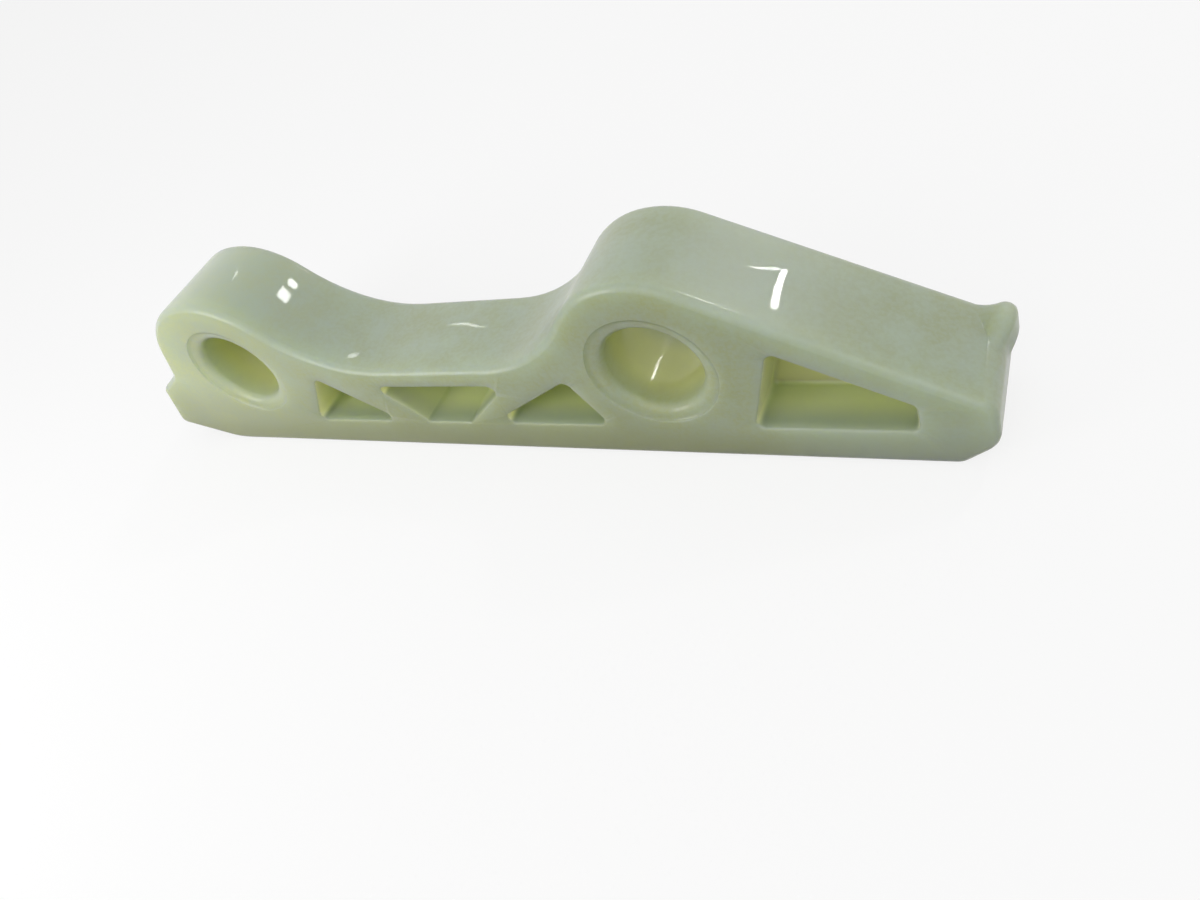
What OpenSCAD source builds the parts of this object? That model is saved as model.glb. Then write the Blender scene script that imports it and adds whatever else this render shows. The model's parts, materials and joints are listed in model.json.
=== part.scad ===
// Moulded timing chain guide in natural polyamide: a shoe that the chain slides along, stiffened
// by two bolt bosses, a thin middle web and ribbed pockets. One piece, no inserts.
// X runs along the chain, Y across it and Z away from it. The origin is the middle of the chain face.

/* [Guide] */
// Overall length, from the toe tip to the corner lug
guide_l = 105.7; // [100:0.1:130]
// Width across the chain
guide_w = 12; // [10:0.5:20]
// Rounding of the outer edges along both faces
edge_r = 0.9; // [0.4:0.1:1.1]
// Thickness of the shoe between the chain face and the pockets
shoe_t = 4.4; // [3.4:0.1:5]

/* [Bolt bores] */
// Diameter of both bores
bore_d = 10; // [7:0.1:12]
// Rounding of the edges of the bores
mouth_r = 1.1; // [0.5:0.1:1.5]
// Width of the shallow seat round each bore in the front face
seat_w = 1.6; // [1.2:0.1:2]
// Depth of the seats
seat_depth = 0.25; // [0.2:0.05:0.6]
// Rounding of the outer edges of the seats
seat_edge_r = 0.2; // [0.1:0.05:0.25]
// Distance of the left bore from the toe tip
left_bore_x = 19.5; // [18.5:0.1:26]
// Height of the left bore above the chain face
left_bore_z = 12.6; // [11.5:0.1:14]
// Distance between the bores along the guide
bore_pitch = 55.8; // [50:0.1:62]
// Height of the right bore above the chain face
right_bore_z = 11.7; // [11:0.1:14]

/* [Back outline] */
// Outer radius of the left boss
left_boss_r = 11.5; // [10.5:0.1:12.5]
// How far the centre of the left boss lies towards the toe from its bore
left_boss_back = 0.6; // [0:0.1:1]
// How far the centre of the left boss lies below its bore
left_boss_drop = 1.1; // [0:0.1:1.5]
// Outer radius of the right boss
right_boss_r = 9.6; // [9:0.1:11.5]
// How far the centre of the right boss lies above its bore
right_boss_rise = 0.9; // [0:0.1:1.2]
// Height of the valley between the bosses
valley_h = 12.4; // [11:0.1:14]
// Radius of the hollow curve from the left boss into the valley
left_fillet_r = 18.8; // [12:0.1:22]
// Radius of the hollow curve from the valley up to the right boss
right_fillet_r = 15.3; // [10:0.1:18]

/* [Toe] */
// Rounding of the toe tip and of the toe's shoulder
toe_r = 1.2; // [1.1:0.05:1.5]
// Height of the centre of the toe tip's rounding
toe_tip_h = 3.9; // [3:0.1:4.5]
// Distance of the centre of the shoulder's rounding from the toe tip
shoulder_x = 3; // [2:0.1:4]
// Height of the centre of the shoulder's rounding
shoulder_h = 8.7; // [7.5:0.1:9.5]
// Radius of the hollow neck between the shoulder and the left boss
neck_r = 2.5; // [1.5:0.1:3]
// Height of the centre of the neck's curve
neck_h = 13.8; // [13:0.1:15]
// Angle of the flank from the neck up to the left boss, from the horizontal
flank_angle = 66.4; // [60:0.2:72]
// Distance from the toe tip at which the chain face starts to lift
toe_lead_x = 10.7; // [8:0.1:14]
// Radius of the chain face where it lifts towards the toe
toe_lead_r = 9.6; // [5:0.1:15]

/* [End] */
// Distance from the end face at which the chain face starts to lift
end_lead_x = 3.8; // [3:0.1:6]
// Radius of the chain face where it lifts towards the end
end_lead_r = 1.9; // [1.2:0.1:3]
// Rounding of the lower corner of the end face
end_low_r = 2.5; // [1.5:0.1:3]
// Height of the centre of the lower corner's rounding
end_low_h = 3.7; // [3.3:0.1:4.5]
// Rounding of the upper corner of the end face
end_high_r = 2.4; // [1.5:0.1:3]
// Height of the centre of the upper corner's rounding
end_high_h = 5.7; // [5:0.1:6.5]

/* [Corner lug] */
// How far the lug on the far upper corner stands proud of the end face
lug_proud = 0.7; // [0.2:0.1:0.8]
// Height of the top of the lug above the centre of the upper corner's rounding
lug_top_rise = 3.1; // [2.7:0.1:3.3]
// Height of the centre of the lug's lower rounding above the same centre
lug_low_rise = 0.4; // [0.1:0.1:0.7]
// Rounding of both corners of the lug
lug_r = 1.1; // [1.1:0.05:1.3]
// How far the upper corner lies back from the lower one
lug_lean = 0.05; // [0:0.05:0.3]
// Radius of the hollow curve from the sloping back up to the lug
lug_back_r = 2.6; // [2:0.1:4]
// Radius of the hollow curve from the lug down to the end face
lug_end_r = 1; // [0.6:0.1:1.4]
// Width of the lug at its full height, up to the rounded edge
lug_w = 0.2; // [0.1:0.1:2]
// Width over which the lug fades into the corner
lug_fade_w = 4.5; // [1.2:0.1:6]

/* [Pockets] */
// Thickness of the web between the front and the back pockets
web_t = 1.3; // [0.8:0.1:3]
// How far the web lies behind the middle of the width
web_shift = 0.55; // [0:0.05:1]
// Rounding of the pockets' upright corners
pocket_r = 0.75; // [0.6:0.05:1]
// Rounding where the pockets' walls meet the web
pocket_floor_r = 0.5; // [0.2:0.05:0.55]
// Taper of the pockets' walls, in mm a side over their depth
pocket_taper = 0.1; // [0:0.02:0.15]
// Bevel round the pockets' mouths
pocket_bevel = 0.25; // [0.1:0.05:0.4]
// Wall between the valley and the pocket below it
valley_wall = 2.5; // [2:0.1:3.5]
// Wall between the sloping back and the pocket below it
slope_wall = 2.9; // [2:0.1:3.5]
// Wall between the end face and the last pocket
end_wall = 6.4; // [5:0.1:9]
// Wall between the left bore and the pocket beside it
left_bore_wall = 6; // [5:0.1:7]
// Angle of the side of that pocket, from the horizontal
left_side_angle = 58.5; // [50:0.5:70]
// Wall between the right bore and the pocket on its left
middle_bore_wall = 4.5; // [3.5:0.1:5]
// Angle of the side of that pocket, from the horizontal
middle_side_angle = 65; // [55:0.5:75]
// Wall between the right bore and the pocket on its right
right_bore_wall = 5.4; // [4.5:0.1:6.5]
// Angle of the side of that pocket, from the horizontal
right_side_angle = 72; // [60:0.5:80]

/* [Ribs] */
// Distance of the left rib's foot from the left bore
left_rib_x = 23.1; // [20:0.1:25]
// Width of the left rib's foot along the shoe
left_rib_w = 4.1; // [2.5:0.1:5]
// Lean of the left rib, from the horizontal
left_rib_angle = 42.7; // [35:0.1:50]
// Distance of the right rib's foot from the right bore
right_rib_x = 23.1; // [20:0.1:25]
// Width of the right rib's foot along the shoe
right_rib_w = 3.2; // [2:0.1:4]
// Lean of the right rib, from the horizontal
right_rib_angle = 33; // [28:0.1:40]
// How far each side of a rib opens out from its lean
rib_flare_angle = 5; // [0:0.5:6]

/* [Hidden] */

// Largest turn between two points on the guide's outline, in degrees
arc_angle = 5;
// Largest turn between two points in a pocket's corner, in degrees
corner_angle = 15;
// Straight steps round the quarter circle of a rounded edge
edge_steps = 4;
// How far a curve or a cut runs past the face that it opens
past = 0.02;
// Room left round the guide by the block that trims its two faces
trim_room = 1;
// Shortest distance between two points of an outline
point_gap = 0.001;
// How far the hollow curves of the lug dip under the faces that they run into
lug_dip = 0.05;
// How far the lug sinks into the corner where it has faded
lug_sink = 1.5;
// Steps of the lug's fade
fade_steps = 8;

end_x = guide_l - lug_proud;
right_bore_x = left_bore_x + bore_pitch;
bore_r = bore_d / 2;
left_bore = [left_bore_x, left_bore_z];
right_bore = [right_bore_x, right_bore_z];

// Circles are [x, z, radius]. A negative radius is a hollow curve.
left_boss = [left_bore_x - left_boss_back, left_bore_z - left_boss_drop, left_boss_r];
right_boss = [right_bore_x, right_bore_z + right_boss_rise, right_boss_r];
end_high = [end_x - end_high_r, end_high_h, end_high_r];
end_low = [end_x - end_low_r, end_low_h, end_low_r];

// Lines are [angle of the outward normal, distance from the datum along that normal].
flank = [90 + flank_angle, along(left_boss, 90 + flank_angle) + left_boss_r];
slope_angle = heading(end_high, right_boss) - 90;
slope = [slope_angle, along(right_boss, slope_angle) + right_boss_r];
valley = [90, valley_h];
shoe_top = [-90, -shoe_t];

// The lug's two corners, and the lines that its hidden root follows inside the guide
lug_low = [guide_l - lug_r, end_high_h + lug_low_rise, lug_r];
lug_high = [guide_l - lug_lean - lug_r, end_high_h + lug_top_rise - lug_r, lug_r];
lug_angle = heading(lug_low, lug_high) / 2;
lug_y = guide_w - edge_r - lug_w;
root_end = [0, end_x - 2 * lug_dip];
root_slope = [slope[0], slope[1] - 2 * lug_dip];
root_back = [180, end_high_r + lug_back_r - end_x];
root_low = [-90, -end_low_h];

guide_belt = [
    [toe_lead_x, toe_lead_r, toe_lead_r],
    [end_x - end_lead_x, end_lead_r, end_lead_r],
    end_low,
    end_high,
    right_boss,
    hollow_curve(right_boss, valley, right_fillet_r, -1),
    hollow_curve(left_boss, valley, left_fillet_r, 1),
    left_boss,
    neck_curve(),
    [shoulder_x, shoulder_h, toe_r],
    [toe_r, toe_tip_h, toe_r],
];

lug_belt = [
    corner(root_low, root_end, lug_r),
    hollow_curve(lug_low, [0, end_x - lug_dip], lug_end_r, 1),
    lug_low,
    lug_high,
    hollow_curve(lug_high, [slope[0], slope[1] - lug_dip], lug_back_r, -1),
    corner(root_slope, root_back, lug_r),
    corner(root_back, root_low, lug_r),
];

// The four pockets, each a loop of lines in counter-clockwise order
left_pocket = [
    shoe_top,
    rib_side(left_bore_x + left_rib_x - left_rib_w / 2, 90 - left_rib_angle + rib_flare_angle),
    bore_side(left_bore, 90 + left_side_angle, left_bore_wall),
];
valley_pocket = [
    shoe_top,
    rib_side(right_bore_x - right_rib_x - right_rib_w / 2, right_rib_angle + rib_flare_angle - 90),
    [90, valley_h - valley_wall],
    rib_side(left_bore_x + left_rib_x + left_rib_w / 2, 270 - left_rib_angle - rib_flare_angle),
];
middle_pocket = [
    shoe_top,
    bore_side(right_bore, 90 - middle_side_angle, middle_bore_wall),
    rib_side(right_bore_x - right_rib_x + right_rib_w / 2, 90 + right_rib_angle - rib_flare_angle),
];
right_pocket = [
    shoe_top,
    [0, end_x - end_wall],
    [slope[0], slope[1] - slope_wall],
    bore_side(right_bore, 90 + right_side_angle, right_bore_wall),
];

// Distance of a point from the datum along a direction
function along(p, angle) = p[0] * cos(angle) + p[1] * sin(angle);

// A pocket's side that stands a wall away from a bore, on the side that faces it
function bore_side(bore, angle, wall) = [angle, along(bore, angle) - bore_r - wall];

// A pocket's side along a rib whose foot meets the top of the shoe at x
function rib_side(x, angle) = [angle, along([x, shoe_t], angle)];

// A hollow curve that touches a circle and a line, to the given side of the circle
function hollow_curve(c, line, r, side) =
    let (
        out = line[1] + r - along(c, line[0]),
        reach = c[2] + r,
        run = side * sqrt(reach * reach - out * out)
    )
    [
        c[0] + out * cos(line[0]) + run * sin(line[0]),
        c[1] + out * sin(line[0]) - run * cos(line[0]),
        -r
    ];

// The hollow curve that touches the flank of the left boss
function neck_curve() =
    [(flank[1] + neck_r - neck_h * sin(flank[0])) / cos(flank[0]), neck_h, -neck_r];

// Direction of the straight line that leads from one circle of a belt to the next
function heading(a, b) =
    let (dx = b[0] - a[0], dz = b[1] - a[1], rise = (a[2] - b[2]) / norm([dx, dz]))
    atan2(dz, dx) + asin(max(-1, min(1, rise)));

// Turn from one direction to another, between -180 and 180 degrees
function turn(from, to) = to - from - 360 * floor((to - from + 180) / 360);

// Points along a belt, each [x, z, radius, angle] on the circle that it lies on
function stations(belt, step) =
    let (n = len(belt))
    [for (i = [0 : n - 1])
        let (
            c = belt[i],
            arrive = heading(belt[(i + n - 1) % n], c),
            sweep = turn(arrive, heading(c, belt[(i + 1) % n])),
            steps = max(1, ceil(abs(sweep) / step))
        )
        for (k = [0 : steps]) [c[0], c[1], c[2], arrive - 90 + sweep * k / steps]];

// Place of a station on the outline, moved inwards by an inset
function place(s, inset) =
    [s[0] + (s[2] - inset) * cos(s[3]), s[1] + (s[2] - inset) * sin(s[3])];

// The stations of a belt without those that fall on the one before
function outline(belt, step) =
    let (all = stations(belt, step), n = len(all))
    [for (i = [0 : n - 1])
        if (norm(place(all[i], 0) - place(all[(i + n - 1) % n], 0)) > point_gap) all[i]];

// The circle of radius r that touches two lines from inside their corner
function corner(a, b, r) =
    let (s = sin(b[0] - a[0]), ha = a[1] - r, hb = b[1] - r)
    [(ha * sin(b[0]) - hb * sin(a[0])) / s, (hb * cos(a[0]) - ha * cos(b[0])) / s, r];

// The belt round the corners of a loop of lines
function loop_belt(lines) =
    let (n = len(lines))
    [for (i = [0 : n - 1]) corner(lines[i], lines[(i + 1) % n], pocket_r)];

// Rings are [y, inset, sink], from front to back. These round the front edge of the guide, and
// start a little in front of its face.
function front_rings() =
    [for (k = [0 : edge_steps])
        let (a = 90 * k / edge_steps)
        [(edge_r + past) * (1 - cos(a)) - past, edge_r * (1 - sin(a)), 0]];

// The same rings on the far edge
function far_rings() =
    let (front = front_rings())
    [for (k = [edge_steps : -1 : 0]) [guide_w - front[k][0], front[k][1], 0]];

// Rings that raise the lug out of the corner and carry it to the far edge
function lug_rings() =
    concat(
        [for (k = [0 : fade_steps])
            let (t = k / fade_steps)
            [lug_y - lug_fade_w * (1 - t), 0, lug_sink * (1 + cos(180 * t)) / 2]],
        far_rings()
    );

// Rings of a pocket from its bevelled mouth at y = 0 to its rounded floor
function pocket_rings(depth) =
    concat(
        [[-pocket_bevel, -2 * pocket_bevel, 0], [pocket_bevel, 0, 0]],
        [for (k = [0 : edge_steps])
            let (a = 90 * k / edge_steps)
            [depth - pocket_floor_r * (1 - sin(a)), pocket_taper + pocket_floor_r * (1 - cos(a)), 0]]
    );

// Points [radius, y] of the rounded edge where a flat face at y runs into a round hole
function rounded_edge(hole_r, y, r) =
    [for (k = [0 : edge_steps])
        let (a = 270 - 90 * k / edge_steps)
        [hole_r + r * (1 + cos(a)), y + r * (1 + sin(a))]];

// The points of an outline repeated at each ring, and sunk back at an angle
function ring_points(path, rings, angle = 0) =
    [for (ring = rings) for (s = path)
        let (p = place(s, ring[1]) - ring[2] * [cos(angle), sin(angle)])
        [p.x, ring[0], p.y]];

// The faces between the rings
function ring_sides(n, rings) =
    [for (j = [0 : len(rings) - 2]) for (i = [0 : n - 1])
        let (k = (i + 1) % n)
        [j * n + i, j * n + k, (j + 1) * n + k, (j + 1) * n + i]];

// A form along rings that comes to a point in front and behind
module pointed_form(belt, rings, angle, front_tip, far_tip) {
    path = outline(belt, arc_angle);
    n = len(path);
    last = n * (len(rings) - 1);
    front = [for (i = [0 : n - 1]) [(i + 1) % n, i, last + n]];
    far = [for (i = [0 : n - 1]) [last + i, last + (i + 1) % n, last + n + 1]];
    polyhedron(
        concat(ring_points(path, rings, angle), [front_tip, far_tip]),
        concat(front, far, ring_sides(n, rings))
    );
}

// The outer form of the guide with its rounded edges and its corner lug. A block as wide as the
// guide trims the points off both to leave two flat faces.
module guide_form() {
    lug_tip = [end_high.x, lug_y - lug_fade_w - lug_r, end_high.y];
    front_tip = [end_x / 2, -guide_l, 0];
    far_tip = [end_x / 2, guide_w + guide_l, 0];
    intersection() {
        union() {
            pointed_form(guide_belt, concat(front_rings(), far_rings()), 0, front_tip, far_tip);
            pointed_form(lug_belt, lug_rings(), lug_angle, lug_tip, far_tip);
        }
        translate([-trim_room, 0, -trim_room])
            cube([guide_l + 2 * trim_room, guide_w, guide_l]);
    }
}

// The space of one pocket, opening at y = 0
module pocket(lines, depth) {
    path = outline(loop_belt(lines), corner_angle);
    rings = pocket_rings(depth);
    n = len(path);
    mouth = [for (i = [n - 1 : -1 : 0]) i];
    floor = [for (i = [0 : n - 1]) n * (len(rings) - 1) + i];
    polyhedron(ring_points(path, rings), concat([mouth, floor], ring_sides(n, rings)));
}

// The pockets on both faces, with the web left between them
module pocket_pair(lines) {
    half = (guide_w - web_t) / 2;
    pocket(lines, half + web_shift);
    translate([0, guide_w, 0])
        mirror([0, 1, 0])
            pocket(lines, half - web_shift);
}

// A bore through the width with rounded edges and a seat in the front face
module bore(centre) {
    seat = rounded_edge(bore_r + seat_w, -past, seat_edge_r);
    mouth = rounded_edge(bore_r, seat_depth, mouth_r);
    far_edge = rounded_edge(bore_r, -past, mouth_r);
    far_mouth = [for (k = [edge_steps : -1 : 0]) [far_edge[k].x, guide_w - far_edge[k].y]];
    axis_ends = [[0, guide_w + past], [0, -past]];
    translate([centre.x, 0, centre.y])
        rotate([-90, 0, 0])
            rotate_extrude($fn = 96)
                polygon(concat(seat, mouth, far_mouth, axis_ends));
}

module chain_guide() {
    color([0.78, 0.80, 0.70])
        translate([-guide_l / 2, -guide_w / 2, 0])
            difference() {
                guide_form();
                for (centre = [left_bore, right_bore])
                    bore(centre);
                for (lines = [left_pocket, valley_pocket, middle_pocket, right_pocket])
                    pocket_pair(lines);
            }
}

chain_guide();
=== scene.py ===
import json
import math

import bpy
from mathutils import Matrix, Vector

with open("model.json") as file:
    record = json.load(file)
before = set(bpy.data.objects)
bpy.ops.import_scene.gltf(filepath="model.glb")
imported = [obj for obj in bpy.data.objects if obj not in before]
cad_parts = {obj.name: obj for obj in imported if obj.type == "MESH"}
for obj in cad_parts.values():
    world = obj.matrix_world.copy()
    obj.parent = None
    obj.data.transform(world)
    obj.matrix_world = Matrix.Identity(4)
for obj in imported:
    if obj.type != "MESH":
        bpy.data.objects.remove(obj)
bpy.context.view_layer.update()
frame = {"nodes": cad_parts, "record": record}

MM = 0.001
HALF_WIDTH = 6.0
WELD_DISTANCE = 0.002 * MM

# Camera, as fitted to the outline of the guide in the photo
IMAGE_WIDTH_PX = 1200
FOCAL_LENGTH_PX = 900
SENSOR_WIDTH_MM = 36.0
CAMERA_AT_MM = (59.15, -59.92, 65.18)
CAMERA_YAW = math.radians(40.774)
CAMERA_DOWN = math.radians(42.295)
CAMERA_ROLL = math.radians(-28.056)

# Colours are linear RGB.
POLYAMIDE = (0.40, 0.45, 0.285)
# The two faces get a brighter, yellower copy of the colour: painted glow of light through the body
POLYAMIDE_FACE_GLOW = (0.43, 0.47, 0.25)
# Paler at the left end, on the top and on the faces: painted light from the left
POLYAMIDE_TOE_LIT = (0.67, 0.76, 0.57)
POLYAMIDE_TOE_FACE_LIT = (0.68, 0.74, 0.38)
# Painted shade, darker towards the chain face
POLYAMIDE_SHOE_SHADE = (0.30, 0.33, 0.15)
# Pale tone of the random clouds and specks, also painted light on the faces at the right end
POLYAMIDE_FROST_AND_PAINTED_LIGHT = (0.47, 0.57, 0.50)
# Bluish painted sheen along the rounded edges
POLYAMIDE_EDGE_SHEEN = (0.33, 0.41, 0.37)
# Painted sheen on the upward surfaces of the slope
POLYAMIDE_PAINTED_SHEEN = (0.54, 0.61, 0.50)
# Painted glow and shade in the pockets: glowing walls, web and deep ledges, ledges darker near the mouth
POLYAMIDE_WALL_GLOW = (0.80, 0.83, 0.54)
POLYAMIDE_WEB_GLOW = (0.58, 0.60, 0.33)
POLYAMIDE_LEDGE_SHADE = (0.33, 0.39, 0.29)
POLYAMIDE_LEDGE_DEEP_GLOW = (0.64, 0.71, 0.35)
# Painted glow inside the bores
POLYAMIDE_BORE_GLOW = (0.68, 0.71, 0.31)
FLOOR_SEEN = (0.95, 0.95, 0.95)
FLOOR_BOUNCE = (0.2, 0.2, 0.2)
FLOOR_WHITE = 0.8
WHITE = (1.0, 1.0, 1.0)

# Where each tint begins and where it is full, in mm along the guide. All tints but the clouds and specks
# are painted light and shade.
# Painted light at the left end, weaker again at its tip
TOE_LIGHT_ALONG = (-10.0, -50.0)
TOE_LIGHT_FADES_ALONG = (-43.0, -49.0)
# Painted sheen on the slope
SHEEN_RISES_ALONG = (22.0, 32.0)
SHEEN_FALLS_ALONG = (44.0, 30.0)
# Painted shade lower down, towards the left
LOW_SHADE_ALONG = (35.0, 15.0)
# Painted light at the right end
TAIL_LIGHT_ALONG = (28.0, 42.0)
# The same in mm above the chain face
# Painted shade towards the chain face
SHOE_SHADE_HEIGHT = (5.5, 1.0)
LOW_SHADE_HEIGHT = (12.0, 4.0)
# The same in mm below the nearer of the two faces
LEDGE_DEPTH = (0.5, 4.0)
BORE_DEPTH = (0.3, 4.5)
# The same in mm outside a bore's wall
INSIDE_BORE = (1.0, 0.2)
BESIDE_BORE = (3.0, 1.5)
# The same as values of the noise, of the open share of the sky and of the upward part of the normal
CLOUD_NOISE = (0.3, 0.7)
SPECK_NOISE = (0.35, 0.65)
HOLLOW_SKY = (0.9, 0.6)
UPWARD_NORMAL = (0.2, 0.9)

# How much of each tint is mixed in where it is full. All but the clouds and specks are painted light and
# shade.
TOE_LIGHT_SHARE = 0.8
TOE_LIGHT_FADE_SHARE = 0.4
CLOUD_SHARE = 0.45
SPECK_SHARE = 0.2
SHEEN_SHARE = 0.7
EDGE_SHEEN_SHARE = 0.5
SHOE_SHADE_SHARE = 0.8
LOW_SHADE_SHARE = 0.5
TAIL_LIGHT_SHARE = 0.35

EDGE_RADIUS = 2.2 * MM
POCKET_REACH = 8.0 * MM
BUMP_HEIGHT = 0.02 * MM
SCATTER_DEPTH = 6.0 * MM

LAMP_DISTANCE = 0.6
FULL_SPREAD = 180.0
# The places that mirror the narrow lamps, in mm
SLOPE_MARK = (34.7, -1.4, 16.8)
SLOPE_BAR = (33.3, 1.1, 17.5)
LEFT_BOSS_SIDE = (-24.6, 1.3, 18.3)
LEFT_BOSS_TOP = (-30.9, 1.5, 22.5)
RIGHT_BORE_WALL = (20.0, -2.0, 7.4)
VALLEY_MARK = (-2.7, 1.7, 12.4)


def smooth_shading(guide):
    """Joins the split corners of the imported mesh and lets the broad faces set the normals."""
    for polygon in guide.data.polygons:
        polygon.use_smooth = True
    weld = guide.modifiers.new("weld", "WELD")
    weld.merge_threshold = WELD_DISTANCE
    normals = guide.modifiers.new("normals", "WEIGHTED_NORMAL")
    normals.mode = "FACE_AREA"
    normals.weight = 100
    normals.keep_sharp = False


def rgba(colour):
    return (*colour, 1.0)


class Nodes:
    """Short ways to add and link the nodes of a material or a world."""

    def __init__(self, owner):
        owner.use_nodes = True
        self.tree = owner.node_tree
        self.tree.nodes.clear()

    def add(self, kind, inputs=None, **settings):
        node = self.tree.nodes.new(kind)
        for name, value in settings.items():
            setattr(node, name, value)
        for name, value in (inputs or {}).items():
            self.set(node.inputs[name], value)
        return node

    def set(self, socket, value):
        if isinstance(value, bpy.types.NodeSocket):
            self.tree.links.new(value, socket)
        else:
            socket.default_value = value

    def math(self, operation, a, b, clamp=False):
        return self.add("ShaderNodeMath", {0: a, 1: b}, operation=operation, use_clamp=clamp).outputs[0]

    def times(self, *factors):
        product = factors[0]
        for factor in factors[1:]:
            product = self.math("MULTIPLY", product, factor)
        return product

    def vector_math(self, operation, a, b=(0.0, 0.0, 0.0)):
        return self.add("ShaderNodeVectorMath", {0: a, 1: b}, operation=operation).outputs

    def split(self, vector):
        return self.add("ShaderNodeSeparateXYZ", {"Vector": vector}).outputs

    def noise(self, place, per_mm, detail):
        inputs = {"Vector": place, "Scale": per_mm, "Detail": detail, "Roughness": 0.6}
        return self.add("ShaderNodeTexNoise", inputs).outputs["Fac"]

    def ramp(self, value, start, end):
        """Rises smoothly from 0 where the value is at the start to 1 where it is at the end."""
        inputs = {"Value": value, "From Min": start, "From Max": end}
        return self.add("ShaderNodeMapRange", inputs, interpolation_type="SMOOTHSTEP").outputs["Result"]

    def mix(self, share, a, b):
        """Colour a with a share of colour b mixed in. A colour is a socket or linear RGB."""
        node = self.add("ShaderNodeMix", data_type="RGBA", clamp_factor=True)
        a, b = (rgba(colour) if isinstance(colour, tuple) else colour for colour in (a, b))
        for name, value in (("Factor_Float", share), ("A_Color", a), ("B_Color", b)):
            self.set(next(s for s in node.inputs if s.identifier == name), value)
        return next(s for s in node.outputs if s.identifier == "Result_Color")


def bore_zones(n, place, bores):
    """1 inside the bores, and 1 inside them and on the seats round them, each fading to 0 outside."""
    inside = beside = 0.0
    for bore in bores:
        centre = [axis / MM for axis in bore["pos_m"]]
        offset = n.vector_math("SUBTRACT", place, centre)[0]
        level = n.vector_math("MULTIPLY", offset, (1.0, 0.0, 1.0))[0]
        away = n.math("SUBTRACT", n.vector_math("LENGTH", level)["Value"], bore["dims"]["r_mm"])
        inside = n.math("MAXIMUM", n.ramp(away, *INSIDE_BORE), inside)
        beside = n.math("MAXIMUM", n.ramp(away, *BESIDE_BORE), beside)
    return inside, beside


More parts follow.
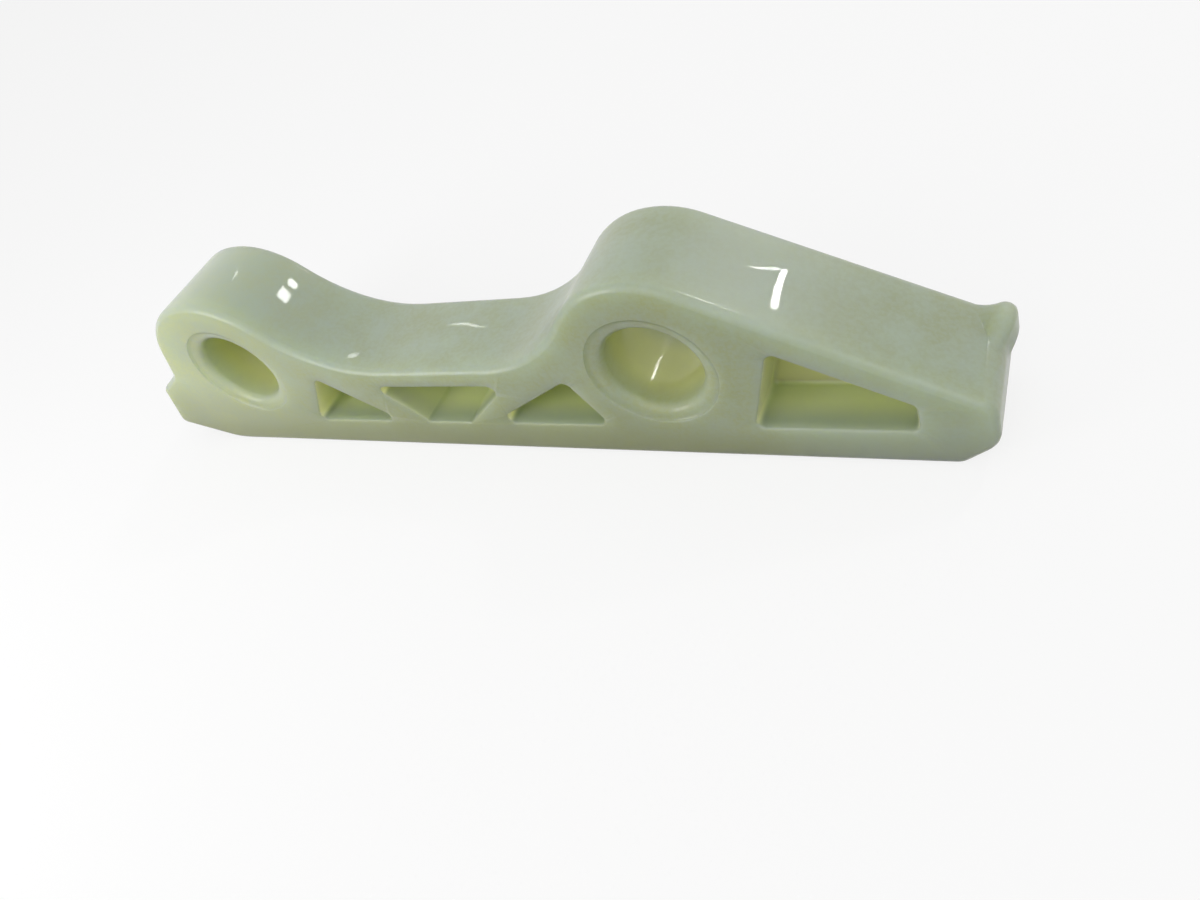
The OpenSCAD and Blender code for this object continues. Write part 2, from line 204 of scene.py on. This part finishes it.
def polyamide(bores):
    """Natural polyamide: pale and cloudy, with painted light and shade: glowing faces, a paler left end and
    right end, a sheen on the slope, a bluish sheen on the rounded edges, darker towards the bottom, and a
    yellow-green glow with darker ledges in the pockets and bores.
    """
    material = bpy.data.materials.new("natural_polyamide")
    n = Nodes(material)
    place = n.add("ShaderNodeTexCoord").outputs["Object"]
    place = n.add("ShaderNodeVectorMath", {0: place, "Scale": 1 / MM}, operation="SCALE").outputs[0]
    axes = n.split(place)
    length, across, height = axes["X"], axes["Y"], axes["Z"]
    depth = n.math("SUBTRACT", HALF_WIDTH, n.math("ABSOLUTE", across, 0.0))
    waves = n.noise(place, per_mm=0.14, detail=1.0)
    clouds = n.noise(place, per_mm=0.25, detail=5.0)
    specks = n.noise(place, per_mm=2.0, detail=2.0)
    inside_bores, beside_bores = bore_zones(n, place, bores)

    # How a surface lies: on the two faces or looking up, on a rounded edge, down in a pocket
    facing = n.split(n.add("ShaderNodeNewGeometry").outputs["Normal"])
    face = n.times(facing["Y"], facing["Y"])
    upward = n.ramp(facing["Z"], *UPWARD_NORMAL)
    rounded = n.split(n.add("ShaderNodeBevel", {"Radius": EDGE_RADIUS}, samples=6).outputs["Normal"])
    lean = n.times(rounded["Y"], rounded["Y"])
    edge = n.math("MULTIPLY", n.times(lean, n.math("SUBTRACT", 1.0, lean)), 4.0, clamp=True)
    sky = n.add("ShaderNodeAmbientOcclusion", {"Distance": POCKET_REACH}, samples=8, only_local=True)
    # The closed-in places that get the painted glow and shade of the pockets
    painted_hollow = n.math("SUBTRACT", n.ramp(sky.outputs["AO"], *HOLLOW_SKY), beside_bores, clamp=True)

    # Painted glow: the two faces are brighter and yellower than the top
    colour = n.mix(face, POLYAMIDE, POLYAMIDE_FACE_GLOW)
    # Painted light: the left end is made paler, less so right at its tip
    toe = n.mix(face, POLYAMIDE_TOE_LIT, POLYAMIDE_TOE_FACE_LIT)
    toe_light = n.times(n.ramp(length, *TOE_LIGHT_ALONG), TOE_LIGHT_SHARE)
    toe_light_fade = n.times(n.ramp(length, *TOE_LIGHT_FADES_ALONG), TOE_LIGHT_FADE_SHARE)
    colour = n.mix(n.math("SUBTRACT", toe_light, toe_light_fade), colour, toe)
    colour = n.mix(n.times(n.ramp(clouds, *CLOUD_NOISE), CLOUD_SHARE), colour, POLYAMIDE_FROST_AND_PAINTED_LIGHT)
    colour = n.mix(n.times(n.ramp(specks, *SPECK_NOISE), SPECK_SHARE), colour, POLYAMIDE_FROST_AND_PAINTED_LIGHT)
    # Painted sheen: paler upward surfaces from about 22 to 44 mm along
    painted_sheen = n.times(n.ramp(length, *SHEEN_RISES_ALONG), n.ramp(length, *SHEEN_FALLS_ALONG), upward)
    colour = n.mix(n.times(painted_sheen, SHEEN_SHARE), colour, POLYAMIDE_PAINTED_SHEEN)
    # Painted sheen: a bluish band on the rounded edges, left out round the bores
    edge_sheen = n.math("SUBTRACT", edge, beside_bores, clamp=True)
    colour = n.mix(n.times(edge_sheen, EDGE_SHEEN_SHARE), colour, POLYAMIDE_EDGE_SHEEN)
    # Painted shade: darker towards the chain face
    colour = n.mix(n.times(n.ramp(height, *SHOE_SHADE_HEIGHT), SHOE_SHADE_SHARE), colour, POLYAMIDE_SHOE_SHADE)
    # Painted shade: darker lower down, from about 35 mm along towards the left
    low_shade = n.times(n.ramp(height, *LOW_SHADE_HEIGHT), n.ramp(length, *LOW_SHADE_ALONG))
    colour = n.mix(n.times(low_shade, LOW_SHADE_SHARE), colour, POLYAMIDE_SHOE_SHADE)
    # Painted light: the faces paler towards the right end
    tail_lit = n.times(n.ramp(length, *TAIL_LIGHT_ALONG), face)
    colour = n.mix(n.times(tail_lit, TAIL_LIGHT_SHARE), colour, POLYAMIDE_FROST_AND_PAINTED_LIGHT)

    # Painted shade and glow in the pockets: ledges darker near the mouth and glowing deeper in, walls and
    # web glowing
    ledge_shade_and_glow = n.mix(n.ramp(depth, *LEDGE_DEPTH), POLYAMIDE_LEDGE_SHADE, POLYAMIDE_LEDGE_DEEP_GLOW)
    wall = n.mix(face, POLYAMIDE_WALL_GLOW, POLYAMIDE_WEB_GLOW)
    colour = n.mix(painted_hollow, colour, n.mix(upward, wall, ledge_shade_and_glow))
    # Painted glow inside the bores, growing with depth
    colour = n.mix(n.times(inside_bores, n.ramp(depth, *BORE_DEPTH)), colour, POLYAMIDE_BORE_GLOW)

    bump = n.add("ShaderNodeBump", {"Height": waves, "Strength": 1.0, "Distance": BUMP_HEIGHT})
    shader = n.add("ShaderNodeBsdfPrincipled", {
        "Base Color": colour,
        "Roughness": 0.38,
        "Specular IOR Level": 0.3,
        "Normal": bump.outputs["Normal"],
        "Subsurface Weight": 1.0,
        "Subsurface Radius": (1.0, 1.0, 0.5),
        "Subsurface Scale": SCATTER_DEPTH,
        "Coat Weight": 0.4,
        "Coat Roughness": 0.015,
        "Coat IOR": 1.5,
        "Coat Normal": bump.outputs["Normal"],
    })
    n.add("ShaderNodeOutputMaterial", {"Surface": shader.outputs[0]})
    return material


def seen_directly(n):
    """1 for camera, mirrored and transmitted rays, and 0 for the rays that gather soft light."""
    path = n.add("ShaderNodeLightPath").outputs
    mirrored = n.math("MAXIMUM", path["Is Glossy Ray"], path["Is Transmission Ray"])
    return n.math("MAXIMUM", path["Is Camera Ray"], mirrored)


def add_floor():
    """Pale paper just below the chain face, made whiter where it is looked at."""
    half = 3.0
    below = 0.02 * MM
    corners = [(-half, -half, -below), (half, -half, -below), (half, half, -below), (-half, half, -below)]
    mesh = bpy.data.meshes.new("floor")
    mesh.from_pydata(corners, [], [(0, 1, 2, 3)])
    floor = bpy.data.objects.new("floor", mesh)
    bpy.context.scene.collection.objects.link(floor)
    material = bpy.data.materials.new("floor")
    n = Nodes(material)
    seen = seen_directly(n)
    paper = n.add("ShaderNodeBsdfDiffuse", {"Color": n.mix(seen, FLOOR_BOUNCE, FLOOR_SEEN)})
    white = n.add("ShaderNodeEmission", {"Color": rgba(WHITE), "Strength": 1.0})
    whitened = n.times(seen, FLOOR_WHITE)
    surface = n.add("ShaderNodeMixShader", {0: whitened, 1: paper.outputs[0], 2: white.outputs[0]})
    n.add("ShaderNodeOutputMaterial", {"Surface": surface.outputs[0]})
    mesh.materials.append(material)


def add_world():
    """Even light from all round, and white where something looks directly past the floor."""
    world = bpy.data.worlds.new("studio")
    bpy.context.scene.world = world
    n = Nodes(world)
    soft = n.add("ShaderNodeBackground", {"Color": rgba(WHITE), "Strength": 0.5})
    white = n.add("ShaderNodeBackground", {"Color": rgba(WHITE), "Strength": 1.0})
    surface = n.add("ShaderNodeMixShader", {0: seen_directly(n), 1: soft.outputs[0], 2: white.outputs[0]})
    n.add("ShaderNodeOutputWorld", {"Surface": surface.outputs[0]})


def direction(azimuth, elevation):
    """Unit vector. Azimuth is counted from +X towards +Y, both in degrees."""
    azimuth, elevation = math.radians(azimuth), math.radians(elevation)
    level = math.cos(elevation)
    return Vector((level * math.cos(azimuth), level * math.sin(azimuth), math.sin(elevation)))


def add_lamp(name, seen_at_mm, first, last, width, radiance, distance=LAMP_DISTANCE, spread=FULL_SPREAD):
    """A strip of light that faces a place on the guide, between two directions from it."""
    target = Vector(seen_at_mm) * MM
    ends = [target + direction(*end) * distance for end in (first, last)]
    middle = (ends[0] + ends[1]) / 2
    along = (ends[1] - ends[0]).normalized()
    across = (middle - target).cross(along).normalized()
    facing = along.cross(across)
    lamp = bpy.data.lights.new(name, "AREA")
    lamp.shape = "RECTANGLE"
    lamp.size = (ends[1] - ends[0]).length
    lamp.size_y = width
    lamp.energy = math.pi * lamp.size * lamp.size_y * radiance
    if spread < FULL_SPREAD:
        # Blender keeps the power of a narrow beam, so this takes out what the beam gains
        half = math.radians(spread) / 2
        lamp.spread = 2 * half
        lamp.energy *= 1 - half / math.tan(half)
    lamp_object = bpy.data.objects.new(name, lamp)
    axes = Matrix((along, across, facing)).transposed().to_4x4()
    lamp_object.matrix_world = Matrix.Translation(middle) @ axes
    bpy.context.scene.collection.objects.link(lamp_object)


def add_soft_lamps():
    add_lamp("front", (0, 0, 0), (-110, 35), (-70, 35), width=0.4, radiance=1.2)
    add_lamp("left_front", (-35, 0, 10), (228, 20), (262, 20), width=0.06, radiance=4.4, distance=0.13)
    add_lamp("right_front", (30, 0, 10), (-45, 40), (-10, 40), width=0.2, radiance=1.8, distance=0.4)


def add_narrow_lamps():
    """The windows and tubes of the room, each named after the place that mirrors it in the photo."""
    add_lamp("slope_window", SLOPE_MARK, (63.0, 36.8), (65.6, 34.4), width=0.005, radiance=100, spread=6)
    add_lamp("slope_bar", SLOPE_BAR, (67.4, 36.2), (65.3, 34.5), width=0.0015, radiance=40, spread=6)
    add_lamp("boss_window_low", LEFT_BOSS_SIDE, (50.4, 44.5), (52.2, 45.7), width=0.008, radiance=40)
    add_lamp("boss_window_high", LEFT_BOSS_SIDE, (49.2, 45.5), (51.0, 46.7), width=0.008, radiance=40)
    add_lamp("bore_window", RIGHT_BORE_WALL, (59, 43), (63.5, 45.5), width=0.048, radiance=30)
    add_lamp("boss_tube", LEFT_BOSS_TOP, (127.5, 48.6), (123.3, 52.0), width=0.006, radiance=12)
    add_lamp("valley_tube", VALLEY_MARK, (136.8, 30.3), (133.2, 32.0), width=0.002, radiance=12, spread=2.5)


def add_camera():
    camera = bpy.data.cameras.new("camera")
    camera.sensor_width = SENSOR_WIDTH_MM
    camera.lens = SENSOR_WIDTH_MM * FOCAL_LENGTH_PX / IMAGE_WIDTH_PX
    camera.clip_start = 1.0 * MM
    camera_object = bpy.data.objects.new("camera", camera)
    camera_object.matrix_world = (
        Matrix.Translation(Vector(CAMERA_AT_MM) * MM)
        @ Matrix.Rotation(CAMERA_YAW, 4, "Z")
        @ Matrix.Rotation(math.pi / 2 - CAMERA_DOWN, 4, "X")
        @ Matrix.Rotation(CAMERA_ROLL, 4, "Z")
    )
    bpy.context.scene.collection.objects.link(camera_object)
    bpy.context.scene.camera = camera_object


guide = frame["nodes"]["chain_guide"]
smooth_shading(guide)
guide.data.materials.clear()
bores = [mount for mount in frame["record"]["mounts"] if mount["kind"] == "bore"]
guide.data.materials.append(polyamide(bores))

add_floor()
add_world()
add_soft_lamps()
add_narrow_lamps()
add_camera()
bpy.context.scene.view_settings.view_transform = "Standard"
